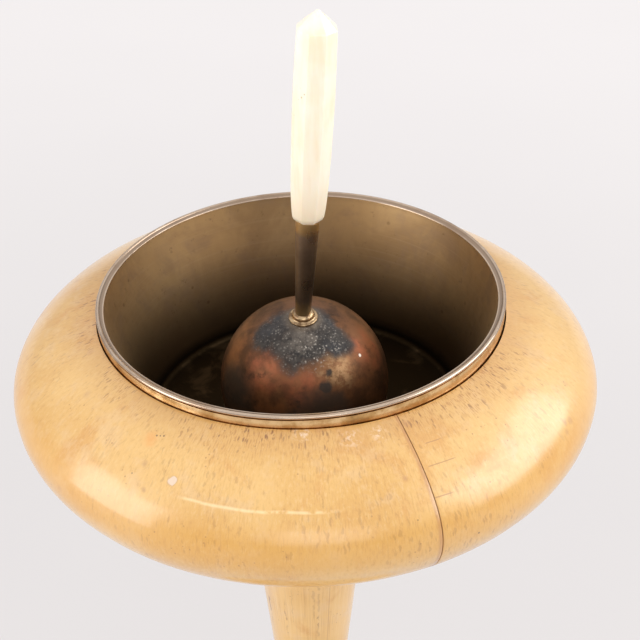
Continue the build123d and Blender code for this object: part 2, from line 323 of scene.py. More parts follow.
def parchment(name, pole_radius, pole_height, ring_radius, bulge_radius, worn_ring=None):
    f = Finish(name, roughness=0.45)
    f.set(Coat_Weight=1.0, Coat_Roughness=0.2, Coat_IOR=1.5)
    turn = f.tree.nodes.new("ShaderNodeVectorRotate")
    turn.rotation_type = "Z_AXIS"
    turn.inputs["Angle"].default_value = radians(-SEAM)
    f.join(f.coordinates, turn.inputs["Vector"])
    across, along, height = f.parts(turn.outputs["Vector"])
    azimuth = f.maths("ARCTAN2", along, across)
    radius = f.maths("SQRT", f.maths("ADD", f.times(across, across), f.times(along, along)))
    rise = f.maths("SUBTRACT", height, pole_height * MM)
    reach = f.maths("SUBTRACT", radius, pole_radius * MM)
    over = f.maths("ARCTAN2", rise, reach)
    skin = f.vector(f.times(azimuth, ring_radius * MM), f.times(over, bulge_radius * MM))

    ground = f.layer((0.64, 0.356, 0.092), (0.72, 0.444, 0.152), f.mask(f.noise(11.0, 3.0, 0.55), 0.38, 0.62))
    blotch = f.noise(34.0, 5.0, 0.6, distortion=0.5)
    ground = f.layer(ground, (0.592, 0.276, 0.056), f.times(f.mask(blotch, 0.52, 0.70), 0.6))
    ground = f.layer(ground, (0.688, 0.448, 0.216), f.times(f.mask(f.noise(75.0, 5.0, 0.65), 0.5, 0.66), 0.5))

    mottle = f.noise(1.0, 6.0, 0.75, f.stretched(620, 330, 1, skin))
    ground = f.layer(ground, (0.76, 0.544, 0.272), f.times(f.mask(mottle, 0.50, 0.66), 0.35))
    ground = f.layer(ground, (0.496, 0.248, 0.068), f.times(f.mask(mottle, 0.47, 0.34), 0.42))
    # Painted shade: a deeper amber band round the widest part stands in for the dark room that the lacquer
    # reflects there.
    painted_shade_band = f.mask(f.maths("ABSOLUTE", f.maths("SUBTRACT", over, 0.06)), 0.20, 0.05)
    ground = f.layer(ground, (0.64, 0.32, 0.052), f.times(painted_shade_band, 0.5))

    if worn_ring:
        worn = f.mask(radius, (worn_ring + 22) * MM, (worn_ring + 2) * MM)
        dull = f.times(worn, f.ranged(f.noise(30.0, 4.0, 0.6), 0.15, 1.0))
        ground = f.layer(ground, (0.52, 0.265, 0.070), f.times(dull, 0.75))
    else:
        worn = f.mask(f.noise(15.0, 2.0, 0.5), 0.5, 0.65)

    patches = f.mask(f.noise(24.0, 3.0, 0.55), 0.40, 0.60)
    density = f.times(f.maths("MAXIMUM", worn, 0.27), f.ranged(patches, 0.25, 1.0))
    fine = f.noise(1.0, 3.0, 0.65, f.stretched(1500, 260, 1, skin))
    ground = f.layer(ground, (0.42, 0.185, 0.042), f.times(f.times(f.mask(fine, 0.50, 0.62), density), 0.8))

    bent = f.vector(f.noise(260.0, 2.0, 0.5), f.noise(190.0, 2.0, 0.5))
    bent_skin = f.tree.nodes.new("ShaderNodeVectorMath")
    bent_skin.operation = "MULTIPLY_ADD"
    f.join(bent, bent_skin.inputs[0])
    bent_skin.inputs[1].default_value = (0.0024, 0.0030, 0.0)
    f.join(skin, bent_skin.inputs[2])
    bent_skin = bent_skin.outputs["Vector"]
    short = f.times(f.mask(f.cells(1.0, f.stretched(520, 180, 1, bent_skin)), 0.34, 0.19),
                    f.mask(f.noise(210.0, 2.0, 0.5), 0.43, 0.52))
    long = f.times(f.mask(f.cells(1.0, f.stretched(360, 85, 1, bent_skin)), 0.19, 0.10),
                   f.mask(f.noise(120.0, 2.0, 0.5), 0.45, 0.53))
    stroke = f.times(f.maths("MAXIMUM", short, long), density)
    ground = f.layer(ground, (0.22, 0.085, 0.022), f.times(stroke, 0.92))

    pore = f.times(f.mask(f.cells(330.0), 0.17, 0.08), f.mask(f.noise(52.0, 2.0, 0.5), 0.54, 0.66))
    ground = f.layer(ground, (0.34, 0.15, 0.045), f.times(pore, 0.6))
    freckle = f.times(f.mask(f.cells(75.0), 0.20, 0.07), f.mask(f.noise(38.0, 2.0, 0.5), 0.50, 0.62))
    ground = f.layer(ground, (0.46, 0.22, 0.09), f.times(freckle, 0.42))

    if worn_ring:
        ground = handling_marks(f, ground, azimuth, radius)

    seam_line = f.maths("ABSOLUTE", f.maths("ADD", azimuth, f.times(f.noise(40.0, 2.0, 0.5), 0.004)))
    edge = f.mask(seam_line, 0.0125, 0.003)
    ground = f.layer(ground, (0.40, 0.17, 0.055), f.times(edge, 0.5))
    f.colour(ground)

    f.rough(f.noise(45.0, 4.0, 0.6), 0.36, 0.55)
    dips = f.noise(1.0, 4.0, 0.6, f.stretched(520, 190, 1, skin))
    f.bump(f.maths("SUBTRACT", dips, f.times(stroke, 0.6)), 0.12, 0.4)
    coat_bump = f.tree.nodes.new("ShaderNodeBump")
    coat_bump.inputs["Strength"].default_value = 0.22
    coat_bump.inputs["Distance"].default_value = 0.05 * MM
    f.join(f.noise(1.0, 3.0, 0.55, f.stretched(170, 90, 1, skin)), coat_bump.inputs["Height"])
    f.join(coat_bump.outputs["Normal"], f.shader.inputs["Coat Normal"])
    return f


# %% [markdown]
# ## Marks of use on the head
# The lacquer has been knocked and scratched: one pale chip, one long hairline scratch that follows
# the curve, a few stains and dark nicks, pale rubbed places beside the bowl and some short cracks
# next to the seam. Each mark is a place in millimetres from the stem's axis and from the head's
# widest circle, with a radius, and the distance to it is made ragged with noise.

# %% Chips, stains and scratches
CHIP = (-55.8, -111.8, 22.4)
STAINS = [((-65.9, -92.6, 29.5), 5.0, (0.72, 0.30, 0.06)), ((-67.6, -102.3, 24.0), 2.2, (0.42, 0.22, 0.10)),
          ((-67.7, -111.9, 18.0), 1.8, (0.40, 0.20, 0.09)), ((113.8, -68.9, 15.5), 2.4, (0.42, 0.22, 0.12)),
          ((39.7, -115.8, 24.2), 2.0, (0.42, 0.20, 0.09)), ((-96.0, -60.0, 30.0), 3.4, (0.52, 0.30, 0.14))]
NICKS = [((-59.9, -92.5, 30.9), 0.7), ((-61.4, -92.1, 30.7), 0.5), ((-63.0, -91.6, 30.5), 0.6),
         ((-73.0, -104.3, 21.0), 0.5), ((70.8, -120.4, -1.9), 0.7), ((44.4, -127.7, 12.4), 0.5),
         ((96.0, -91.0, 14.0), 0.6)]
RUBS = [((17.8, -101.4, 33.7), 6.0), ((-2.0, -99.0, 34.8), 5.0), ((30.0, -98.0, 33.9), 4.5)]


def head_place(x, y, z):
    return (x * MM, y * MM, (EQUATOR + z) * MM)


def handling_marks(f, ground, azimuth, radius):
    for place, size, shade in STAINS:
        apart = f.near(head_place(*place), 260.0, size * 1.2 * MM)
        ground = f.layer(ground, shade, f.times(f.mask(apart, 1.6 * size * MM, 0.6 * size * MM), 0.55))
    for place, size in RUBS:
        apart = f.near(head_place(*place), 120.0, size * MM)
        flaked = f.mask(f.noise(420.0, 4.0, 0.7), 0.48, 0.62)
        bare = f.times(f.mask(apart, 1.7 * size * MM, 0.5 * size * MM), flaked)
        ground = f.layer(ground, (0.86, 0.70, 0.56), f.times(bare, 0.6))
    for place, size in NICKS:
        apart = f.near(head_place(*place), 900.0, size * 1.1 * MM)
        hole = f.mask(apart, 1.5 * size * MM, 0.9 * size * MM)
        ground = f.layer(ground, (0.12, 0.07, 0.03), f.times(hole, 0.85))
    apart = f.near(head_place(*CHIP), 420.0, 2.4 * MM)
    ground = f.layer(ground, (0.52, 0.30, 0.14), f.times(f.mask(apart, 3.9 * MM, 3.3 * MM), 0.5))
    ground = f.layer(ground, (0.72, 0.56, 0.43), f.times(f.mask(apart, 3.4 * MM, 2.9 * MM), 0.9))

    wander = f.times(f.maths("SUBTRACT", f.noise(26.0, 2.0, 0.5), 0.5), 2.4 * MM)
    line = f.maths("ABSOLUTE", f.maths("SUBTRACT", f.maths("ADD", radius, wander), 129.4 * MM))
    stretch = f.times(f.mask(azimuth, -0.84, -0.78), f.mask(azimuth, -0.26, -0.40))
    broken = f.mask(f.noise(150.0, 3.0, 0.6), 0.36, 0.5)
    scratch = f.times(f.times(f.mask(line, 0.8 * MM, 0.10 * MM), stretch), broken)
    ground = f.layer(ground, (0.98, 0.78, 0.46), f.times(scratch, 0.45))

    for ring, first, last in ((120.8, 0.02, 0.14), (131.2, 0.0, 0.08), (112.0, 0.05, 0.13)):
        gap = f.maths("ABSOLUTE", f.maths("SUBTRACT", f.maths("ADD", radius, wander), ring * MM))
        here = f.times(f.mask(azimuth, first, first + 0.01), f.mask(azimuth, last, last - 0.02))
        crack = f.times(f.mask(gap, 0.30 * MM, 0.10 * MM), here)
        ground = f.layer(ground, (0.38, 0.17, 0.07), f.times(crack, 0.6))
    return ground


OPENING = 96.2
BORE = (-1.45, -0.7)
head_parchment = parchment("parchment_head", 60, EQUATOR, 120, 62, worn_ring=OPENING)
print("parchment finish:", len(head_parchment.tree.nodes), "nodes")

# %% [markdown]
# ## The head's covering
# The head is 280 mm across and is covered in two panels of skin that meet at a butt seam from the
# bowl's opening to the stem. Each panel is one run of the head's outline, spun through half a
# turn, then given its thickness with Solidify. A very shallow Displace, always inwards, keeps the
# lacquered surface from looking machined. The opening for the bowl was bored a little off the
# stem's axis, so it is cut with a cylinder that stands off centre.

# %% Head panels
CROWN = (15.0, 125.0, 48.0)
BELLY = (26.0, 114.0, 52.5)
NECK = 35.4
SKIN = 1.0

open_angle = degrees(acos((OPENING - 3.0 - CROWN[0]) / CROWN[1]))
neck_angle = degrees(acos((NECK - BELLY[0]) / BELLY[1]))
head_line = run(CROWN[0], EQUATOR, CROWN[1], CROWN[2], open_angle, 0, 40)
head_line += run(BELLY[0], EQUATOR, BELLY[1], BELLY[2], 0, -neck_angle, 56)[1:]

ripple = bpy.data.textures.new("slow_ripple", "CLOUDS")
ripple.noise_scale = 0.035
ripple.noise_depth = 2


def covering(name, outline, steps, start, seam_gap, bored=False):
    panel = turned(name, outline, steps=steps, sweep=180.0 - seam_gap, start=start + seam_gap / 2)
    only(panel)
    modify(panel, "DISPLACE", texture=ripple, strength=0.00035, mid_level=1.0, texture_coords="LOCAL")
    modify(panel, "SOLIDIFY", thickness=SKIN * MM, offset=-1.0, use_even_offset=True)
    if bored:
        bpy.ops.object.select_all(action="DESELECT")
        bpy.ops.mesh.primitive_cylinder_add(vertices=256, radius=OPENING * MM, depth=60 * MM,
                                            location=(BORE[0] * MM, BORE[1] * MM, (EQUATOR + 50) * MM))
        cutter = bpy.context.active_object
        modify(panel, "BOOLEAN", operation="DIFFERENCE", object=cutter, solver="EXACT")
        bpy.data.objects.remove(cutter)
    soften_edges(panel, 0.3, 2, 50)
    smooth(panel, 50)
    return panel


head_right = covering("head_skin_right", head_line, 200, SEAM, 0.2, bored=True)
head_left = covering("head_skin_left", head_line, 200, SEAM + 180.0, 0.2, bored=True)
for piece, node in ((head_right, "head_parchment_right"), (head_left, "head_parchment_left")):
    put_on(head_parchment, piece)
    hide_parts(node)
    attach(piece, "stand")
print("head panels:", [round(v, 4) for v in head_right.dimensions])

# %% [markdown]
# ## The stem's covering
# The stem is a slim baluster with its waist low down. It is wrapped in one sleeve of parchment
# with a seam at the back. The outline is a smooth curve through a few widths, so it is sampled
# from a cubic spline, solved so that neighbouring pieces of the curve bend alike where they meet.

# %% A smooth curve through a few widths
STEM = [(29.6, 37.1), (22.5, 62.0), (17.2, 95.0), (14.0, 140.0), (13.4, 185.0), (15.2, 235.0),
        (18.4, 272.0), (21.6, 304.0), (26.3, 350.0), (35.0, 418.5)]


def smooth_run(points, count):
    heights = array([p[1] for p in points])
    radii = array([p[0] for p in points])
    n = len(points)
    gaps = heights[1:] - heights[:-1]
    system = zeros((n, n))
    answer = zeros(n)
    system[0, 0] = 2 * gaps[0]
    system[0, 1] = gaps[0]
    answer[0] = 0.0
    system[-1, -1] = 2 * gaps[-1]
    system[-1, -2] = gaps[-1]
    for i in range(1, n - 1):
        system[i, i - 1] = gaps[i - 1]
        system[i, i] = 2 * (gaps[i - 1] + gaps[i])
        system[i, i + 1] = gaps[i]
        answer[i] = 6 * ((radii[i + 1] - radii[i]) / gaps[i] - (radii[i] - radii[i - 1]) / gaps[i - 1])
    bend = linalg.solve(system, answer)
    out = []
    for height in linspace(heights[0], heights[-1], count + 1):
        i = min(max(int((heights <= height).sum()) - 1, 0), n - 2)
        a = (heights[i + 1] - height) / gaps[i]
        b = 1 - a
        cubic = ((a ** 3 - a) * bend[i] + (b ** 3 - b) * bend[i + 1]) * gaps[i] ** 2 / 6
        out.append((float(a * radii[i] + b * radii[i + 1] + cubic), float(height)))
    return out


# %% [markdown]
# The sleeve is one run of that curve, spun almost all the way round so that a hairline seam stays
# open, and then given its thickness inwards.

# %% Stem sleeve
stem_parchment = parchment("parchment_stem", 0, 700, 22, 120)
stem = turned("stem_skin", smooth_run(STEM, 110)[::-1], steps=120, sweep=359.0, start=SEAM + 180.5)
modify(stem, "SOLIDIFY", thickness=SKIN * MM, offset=-1.0, use_even_offset=True)
smooth(stem, 50)
put_on(stem_parchment, stem)
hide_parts("stem_parchment")
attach(stem, "stand")

# %% [markdown]
# ## The base
# The base is a low dome with a rolled edge, weighted with iron inside and covered in two panels
# like the head. It is turned the same way, from the dome's crown out to the foot.

# %% Base panels
base_line = run(30, 14, 90, 24, 90, 0, 48) + run(110, 14, 10, 11.5, 0, -90, 14)[1:]
base_parchment = parchment("parchment_base", 60, 14, 90, 60)
base_right = covering("base_skin_right", base_line, 150, SEAM, 0.3)
base_left = covering("base_skin_left", base_line, 150, SEAM + 180.0, 0.3)
for piece, node in ((base_right, "base_parchment_right"), (base_left, "base_parchment_left")):
    put_on(base_parchment, piece)
    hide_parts(node)
    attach(piece, "stand")

# %% [markdown]
# ## Spun bowl metal
# The bowl was spun from sheet brass and has gone bronze brown. Fine rings from the spinning tool run round it,
# ash has settled dull in its corner, and the wall is clouded where fingers and cloths have been. The lower wall
# is painted darker towards the floor as painted shade, standing in for the dark floor it reflects. The floor is
# painted nearly black, and this reaches up into the corner as painted shade that dims the corner's bright
# reflection. Spinning marks are noise stretched hard round the axis: the radius and the height are used as
# coordinates and the angle hardly at all.

# %% The bowl's finish
FLOOR = EQUATOR - 28.5
LIP_TOP = EQUATOR + 43.0


BALL_HEIGHT = EQUATOR - 9.0
BALL = Vector((-0.6 * MM, 0, (BALL_HEIGHT + 1.0) * MM))
UPRIGHT = Matrix.Translation(Vector((0, 0, -BALL_HEIGHT * MM)))
COCKED = Matrix.Rotation(radians(0.9), 4, "X") @ Matrix.Rotation(radians(-1.1), 4, "Y")
BOWL_FRAME = Matrix.Translation(BALL) @ COCKED @ UPRIGHT


def stand_in(piece, place):
    only(piece)
    piece.matrix_world = place
    bpy.ops.object.transform_apply(location=True, rotation=True, scale=True)


def round_coordinates(f, frame=Matrix()):
    """Angle, radius and height about the axis of a piece that stands in this frame."""
    back = frame.inverted()
    mapping = f.tree.nodes.new("ShaderNodeMapping")
    mapping.inputs["Location"].default_value = back.to_translation()
    mapping.inputs["Rotation"].default_value = back.to_euler()
    f.join(f.coordinates, mapping.inputs["Vector"])
    x, y, z = f.parts(mapping.outputs["Vector"])
    radius = f.maths("SQRT", f.maths("ADD", f.times(x, x), f.times(y, y)))
    azimuth = f.maths("ARCTAN2", x, f.times(y, -1.0))
    return azimuth, radius, z


bowl_metal = Finish("bowl_bronze", roughness=0.4, metallic=1.0)
f = bowl_metal
azimuth, radius, height = round_coordinates(f, BOWL_FRAME)
rings = f.noise(1.0, 3.0, 0.6, f.vector(f.times(azimuth, 0.9), f.times(radius, 900.0), f.times(height, 900.0)))
haze = f.noise(24.0, 5.0, 0.6, distortion=0.4)
drip = f.noise(1.0, 4.0, 0.6, f.vector(f.times(azimuth, 7.0), f.times(radius, 9.0), f.times(height, 9.0)))
speckle = f.noise(260.0, 5.0, 0.7)
tint = f.layer((0.60, 0.415, 0.215), (0.46, 0.305, 0.155), f.mask(haze, 0.40, 0.64))
tint = f.layer(tint, (0.36, 0.235, 0.13), f.times(f.mask(drip, 0.5, 0.7), 0.18))
cloud = f.noise(55.0, 5.0, 0.65, distortion=0.5)
tint = f.layer(tint, (0.38, 0.27, 0.19), f.times(f.mask(cloud, 0.48, 0.70), 0.4))
tint = f.layer(tint, (0.66, 0.49, 0.30), f.times(f.mask(rings, 0.52, 0.7), 0.2))
tint = f.layer(tint, (0.18, 0.11, 0.06), f.times(f.mask(speckle, 0.60, 0.72), 0.45))
spots = f.times(f.mask(f.cells(120.0), 0.16, 0.06), f.mask(f.noise(40.0, 2.0, 0.5), 0.52, 0.62))
tint = f.layer(tint, (0.16, 0.09, 0.045), f.times(spots, 0.5))
# Painted shade: the lower wall is painted darker towards the floor, standing in for the dark floor that it
# reflects.
painted_wall_shade = f.mask(height, (FLOOR + 56.0) * MM, (FLOOR + 4.0) * MM)
tint = f.layer(tint, (0.11, 0.066, 0.032), f.times(painted_wall_shade, 0.95))
# Painted shade in part: the floor is painted nearly black, and the near-black reaches up into the corner as
# painted shade that dims its bright reflection.
tint = f.layer(tint, (0.018, 0.011, 0.005), f.mask(height, (FLOOR + 9.0) * MM, (FLOOR + 2.6) * MM))
floor_haze = f.times(f.mask(height, (FLOOR + 1.0) * MM, (FLOOR + 0.2) * MM), f.mask(cloud, 0.48, 0.66))
tint = f.layer(tint, (0.085, 0.055, 0.028), f.times(floor_haze, 0.6))
tint = f.layer(tint, (0.0, 0.0, 0.0), 0.06)
f.colour(tint)
settled = f.mask(height, (FLOOR + 9.0) * MM, (FLOOR + 3.0) * MM)
f.rough(f.maths("MAXIMUM", f.maths("ADD", f.times(haze, 0.7), f.times(speckle, 0.3)), settled), 0.30, 0.56)
f.bump(f.maths("ADD", f.times(rings, 0.5), f.times(speckle, 0.5)), 0.03, 0.5)
print("bowl finish:", len(f.tree.nodes), "nodes")

# %% [markdown]
# ## The bowl
# The wall is a straight cone that leans out and meets the flat floor in a tight corner, which
# shows as a fine circle on the floor. At the top the sheet is turned out into a narrow lip that
# slopes up from a thin inner ridge to a rolled outer bead. The outline goes down the inside,
# across to the drain hole, back along the underside and up the outside to the lip. The loose
# bowl sits a little cocked in the wood, so the finished piece is turned about the drain.

# %% Bowl outline and spin
WALL = 1.2
DRAIN = 38.05
CORNER = (74.4, FLOOR + 3.0)
WALL_FOOT, WALL_HEAD = 77.4, 92.1

bowl_line = [(DRAIN, FLOOR), (56, FLOOR)] + run(*CORNER, 3.0, 3.0, -90, 0, 10)
wall_count = 30
wall_top = LIP_TOP - 1.5
for i in range(1, wall_count + 1):
    t = i / wall_count
    bowl_line.append((WALL_FOOT + (WALL_HEAD - WALL_FOOT) * t, CORNER[1] + (wall_top - CORNER[1]) * t))
bowl_line += [(92.14, LIP_TOP - 1.26), (92.26, LIP_TOP - 1.1), (92.45, LIP_TOP - 1.04), (92.65, LIP_TOP - 1.08),
              (93.4, LIP_TOP - 0.82), (94.05, LIP_TOP - 0.6)]
bowl_line += run(94.96, LIP_TOP - 0.94, 0.94, 0.94, 152, -84, 18)
bowl_line += [(94.3, LIP_TOP - 2.3), (93.5, LIP_TOP - 2.75), (92.95, LIP_TOP - 3.0)]
bowl_line += run(*CORNER, 4.2, 4.2, 0, -90, 8)
bowl_line += [(DRAIN, FLOOR - WALL), (DRAIN, FLOOR)]
bowl = turned("spun_bowl", bowl_line, steps=256)
stand_in(bowl, BOWL_FRAME)
smooth(bowl, 60)
put_on(bowl_metal, bowl)
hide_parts("bowl_shell")
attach(bowl, "bowl")

# %% [markdown]
# ## A lip worn by hands
# The lip is the same sheet, scuffed and worn, and darker on its slope than on its bead. It gets its own finish
# on the same mesh: its faces are the ones farther out than the wall's head. The hoop's brass is made here too,
# because it is judged next to the lip.

# %% Lip metal
lip_metal = Finish("lip_satin", roughness=0.25, metallic=1.0)
f = lip_metal
azimuth, radius, height = round_coordinates(f, BOWL_FRAME)
round_the_lip = f.vector(f.times(azimuth, 14.0), f.times(radius, 500.0), f.times(height, 500.0))
scuffs = f.noise(1.0, 5.0, 0.65, round_the_lip)
wear = f.noise(32.0, 4.0, 0.6)
tint = f.layer((0.56, 0.44, 0.34), (0.38, 0.27, 0.19), f.mask(wear, 0.42, 0.68))
tint = f.layer(tint, (0.78, 0.66, 0.55), f.times(f.mask(scuffs, 0.5, 0.7), 0.25))
slope = f.times(f.mask(radius, 92.6 * MM, 92.9 * MM), f.mask(radius, 94.5 * MM, 94.1 * MM))
tint = f.layer(tint, (0.29, 0.205, 0.145), f.times(slope, 0.8))
f.colour(tint)
f.rough(wear, 0.12, 0.30)
f.bump(scuffs, 0.006, 0.4)

# %% [markdown]
# The hoop is brass polished round and round, so its fine grain is stretched along the angle, and
# it keeps a low roughness with a few brown spots where the polish has failed.

# %% Hoop brass
bright_brass = Finish("polished_brass", roughness=0.14, metallic=1.0)
f = bright_brass
azimuth, radius, height = round_coordinates(f, BOWL_FRAME)
fine = f.noise(1.0, 4.0, 0.6, f.vector(f.times(azimuth, 6.0), f.times(radius, 800.0), f.times(height, 800.0)))
spots = f.noise(90.0, 5.0, 0.65)
tint = f.layer((0.74, 0.50, 0.25), (0.50, 0.29, 0.11), f.mask(spots, 0.42, 0.62))
tint = f.layer(tint, (0.22, 0.12, 0.05), f.times(f.mask(spots, 0.60, 0.72), 0.6))
f.colour(tint)
f.rough(f.maths("ADD", f.times(fine, 0.5), f.times(spots, 0.5)), 0.07, 0.26)
f.bump(fine, 0.012, 0.5)

# %% [markdown]
# A mesh can hold several materials, and every face has the number of the one it shows. The faces
# are picked in the upright bowl, so each centre is first turned back by the bowl's frame.

# %% Give the lip its faces
bowl.data.materials.append(lip_metal.material)
to_bowl = BOWL_FRAME.inverted()
lip_faces = 0
for face in bowl.data.polygons:
    place = (to_bowl @ face.center) / MM
    if place.xy.length > WALL_HEAD + 0.01 and place.z > LIP_TOP - 2.4:
        face.material_index = 1
        lip_faces += 1
print("lip faces:", lip_faces)

# %% [markdown]
# ## The polished hoop
# Under the lip a hoop of bright brass is soldered on. It hides the joint, and its inturned foot
# carries the bowl on the ledge in the wood. It is smoother than the bowl, so it mirrors the
# parchment next to it.

# %% Rim hoop
BAND_OUT, BAND_IN, FOOT_IN = 95.6, 94.7, 91.6
BAND_FOOT, FOOT_TOP, BAND_TOP = 500.1, 501.0, 510.8
band_line = [(FOOT_IN, BAND_FOOT), (BAND_OUT, BAND_FOOT), (BAND_OUT, BAND_TOP), (BAND_IN, BAND_TOP),
             (BAND_IN, FOOT_TOP), (FOOT_IN, FOOT_TOP), (FOOT_IN, BAND_FOOT)]
band = turned("rim_hoop", band_line, steps=256)
stand_in(band, BOWL_FRAME)
soften_edges(band, 0.2, 2, 40)
smooth(band, 40)
put_on(bright_brass, band)
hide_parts("bowl_rim_band")
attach(band, "bowl")

# %% [markdown]
# ## The ball of the drain valve
# The ball is thin copper-coloured sheet, spun in two pieces. It closes the drain in the bowl's
# floor, and everything that is stubbed out lands on it, so it is the most worn piece: copper red
# below, a black and slate-grey crust of soot and ash on top, and scuffs where it has been cleaned.
# It leans as it rests. It is drawn upright about its own centre and then turned by the lean.

# %% Ball shells
BALL_LEAN = 8.5
OUTSIDE, INSIDE = 41.0, 39.8
SPINDLE_HOLE = 3.2
OPEN_BELOW = -26.0

BALL_FRAME = Matrix.Translation(BALL) @ Matrix.Rotation(radians(BALL_LEAN), 4, "X")
pole = degrees(acos(SPINDLE_HOLE / OUTSIDE))
cut = degrees(asin(OPEN_BELOW / OUTSIDE))
dome_line = run(0, 0, OUTSIDE, OUTSIDE, 0, pole, 90) + run(0, 0, INSIDE, INSIDE, pole, 0, 24)
dome_line.append(dome_line[0])
zone_line = run(0, 0, OUTSIDE, OUTSIDE, cut, 0, 36) + run(0, 0, INSIDE, INSIDE, 0, cut, 12)
zone_line.append(zone_line[0])
dome = turned("ball_dome", dome_line, steps=240)
zone = turned("ball_zone", zone_line, steps=240)

# %% [markdown]
# Ash has baked on as a thin uneven crust. A vertex group says how much of it each point has, and
# Displace lifts the surface by the noise where the group is strong. The rim under the collar is
# left alone so that the collar sits flat.

# %% Baked crust on the upper shell
crust = bpy.data.textures.new("ash_crust", "CLOUDS")
crust.noise_scale = 0.0022
crust.noise_depth = 3
crusted = dome.vertex_groups.new(name="crusted")
for vertex in dome.data.vertices:
    place = vertex.co / MM
    if place.length < 40.5:
        continue
    spot = (place - Vector((0.5, -13.0, 38.8))).length
    ragged = 8 * noise.noise(vertex.co * 70)
    weight = min(max((21 + ragged - spot) / 7, 0.0), 1.0)
    if place.xy.length < 7.6:
        weight = 0.0
    crusted.add([vertex.index], weight, "REPLACE")
modify(dome, "DISPLACE", texture=crust, strength=0.0007, mid_level=0.45, vertex_group="crusted",
       texture_coords="LOCAL")
for piece in (dome, zone):
    stand_in(piece, BALL_FRAME)
    smooth(piece, 60)

# %% [markdown]
# ## Copper, soot and ash
# Stained copper is the ground, with orange-red places where the metal is clean and dark blotches here and
# there. Over it lies a burnt zone round the collar, made of overlapping ragged patches, slate-grey at its edges
# and brown-grey in the middle, with crumbs of white ash, and two small spots of char lie on the front. The
# lower front and the lower left are painted nearly black as painted shade, where the ball sinks into the dark
# of the bowl. Soot is not metal, so the metallic value falls where it lies, and the roughness rises; the
# painted shade takes the metallic value down and the roughness up in the same way.

# %% The ball's finish
copper = Finish("stained_copper", roughness=0.4, metallic=1.0)
f = copper


def on_ball(x, y, z):
    return tuple(BALL_FRAME @ (Vector((x, y, z)) * MM))


def patch(place, size, soft, scale=85.0, ragged=14.0):
    """Ragged round patch: 1 inside, 0 outside, sizes in millimetres."""
    middle = ragged / 2
    apart = f.near(on_ball(*place), scale, ragged * MM)
    return f.mask(apart, (size + middle + soft) * MM, (size + middle - soft) * MM)


def either(first, second):
    return f.maths("MAXIMUM", first, second)


patina = f.noise(60.0, 5.0, 0.65)
fine_grain = f.noise(420.0, 4.0, 0.7)
tint = f.layer((0.185, 0.082, 0.036), (0.085, 0.040, 0.020), f.mask(patina, 0.40, 0.62))
glow = either(patch((-19.7, -22.4, 28.2), 10, 5), patch((30.4, -7.2, 26.6), 10, 5))
glow = either(glow, patch((0.2, -32.1, 25.5), 8, 5))
rubbed = f.mask(f.noise(140.0, 5.0, 0.7), 0.34, 0.66)
tint = f.layer(tint, (0.30, 0.095, 0.045), f.times(glow, f.ranged(rubbed, 0.15, 0.8)))
scuff = patch((15.6, -23.6, 29.6), 7, 5)
scratches = f.ranged(f.mask(f.noise(260.0, 5.0, 0.75), 0.4, 0.6), 0.1, 0.9)
tint = f.layer(tint, (0.34, 0.205, 0.10), f.times(scuff, scratches))
tint = f.layer(tint, (0.03, 0.018, 0.01), f.times(f.mask(f.noise(95.0, 5.0, 0.7), 0.56, 0.66), 0.6))

burn = either(patch((-1.7, -9.0, 39.9), 17, 4), patch((-17.0, -8.0, 36.2), 8, 3))
burn = either(burn, either(patch((15.0, -12.0, 36.0), 8, 3), patch((-5.2, -22.0, 34.0), 6, 3)))
blue = either(patch((-15.7, -0.6, 37.9), 8, 5), patch((15.1, 3.3, 38.0), 7, 5))
blue = either(blue, patch((14.0, -17.0, 34.5), 5, 4))
soot = f.layer((0.030, 0.026, 0.022), (0.010, 0.009, 0.009), f.mask(f.noise(210.0, 5.0, 0.7), 0.42, 0.58))
blue_grain = f.ranged(f.mask(f.noise(180.0, 5.0, 0.7), 0.36, 0.62), 0.15, 0.9)
soot = f.layer(soot, (0.024, 0.026, 0.030), f.times(blue, blue_grain))
haze = f.mask(f.noise(115.0, 5.0, 0.7), 0.46, 0.60)
middle = patch((1.5, -14.5, 38.3), 11, 6)
soot = f.layer(soot, (0.13, 0.11, 0.09), f.times(f.times(haze, middle), 0.8))
tint = f.layer(tint, soot, f.times(burn, 0.95))
collar_ring = f.mask(f.near(on_ball(0, 0, 41), 300.0, 3.0 * MM), 12.5 * MM, 8.5 * MM)
tint = f.layer(tint, (0.20, 0.15, 0.105), f.times(collar_ring, f.ranged(f.noise(240.0, 4.0, 0.7), 0.1, 0.8)))

crumb_zone = either(patch((3.5, -17.5, 37.0), 9, 5), patch((14.0, -13.0, 36.3), 5, 3))
crumb_zone = either(crumb_zone, f.times(burn, 0.35))
crumb = f.times(f.mask(f.cells(640.0), 0.34, 0.20), f.mask(f.noise(170.0, 4.0, 0.7), 0.42, 0.52))
dust = f.mask(f.noise(620.0, 5.0, 0.75), 0.54, 0.66)
ash = f.times(crumb_zone, either(crumb, f.times(dust, 0.6)))
tint = f.layer(tint, (0.42, 0.38, 0.33), f.times(ash, 0.8))

char_and_shade = either(patch((11.4, -26.0, 29.5), 1.6, 0.8, 300.0, 4.0), patch((9.9, -31.1, 24.8), 2.8, 1.2, 300.0, 5.0))
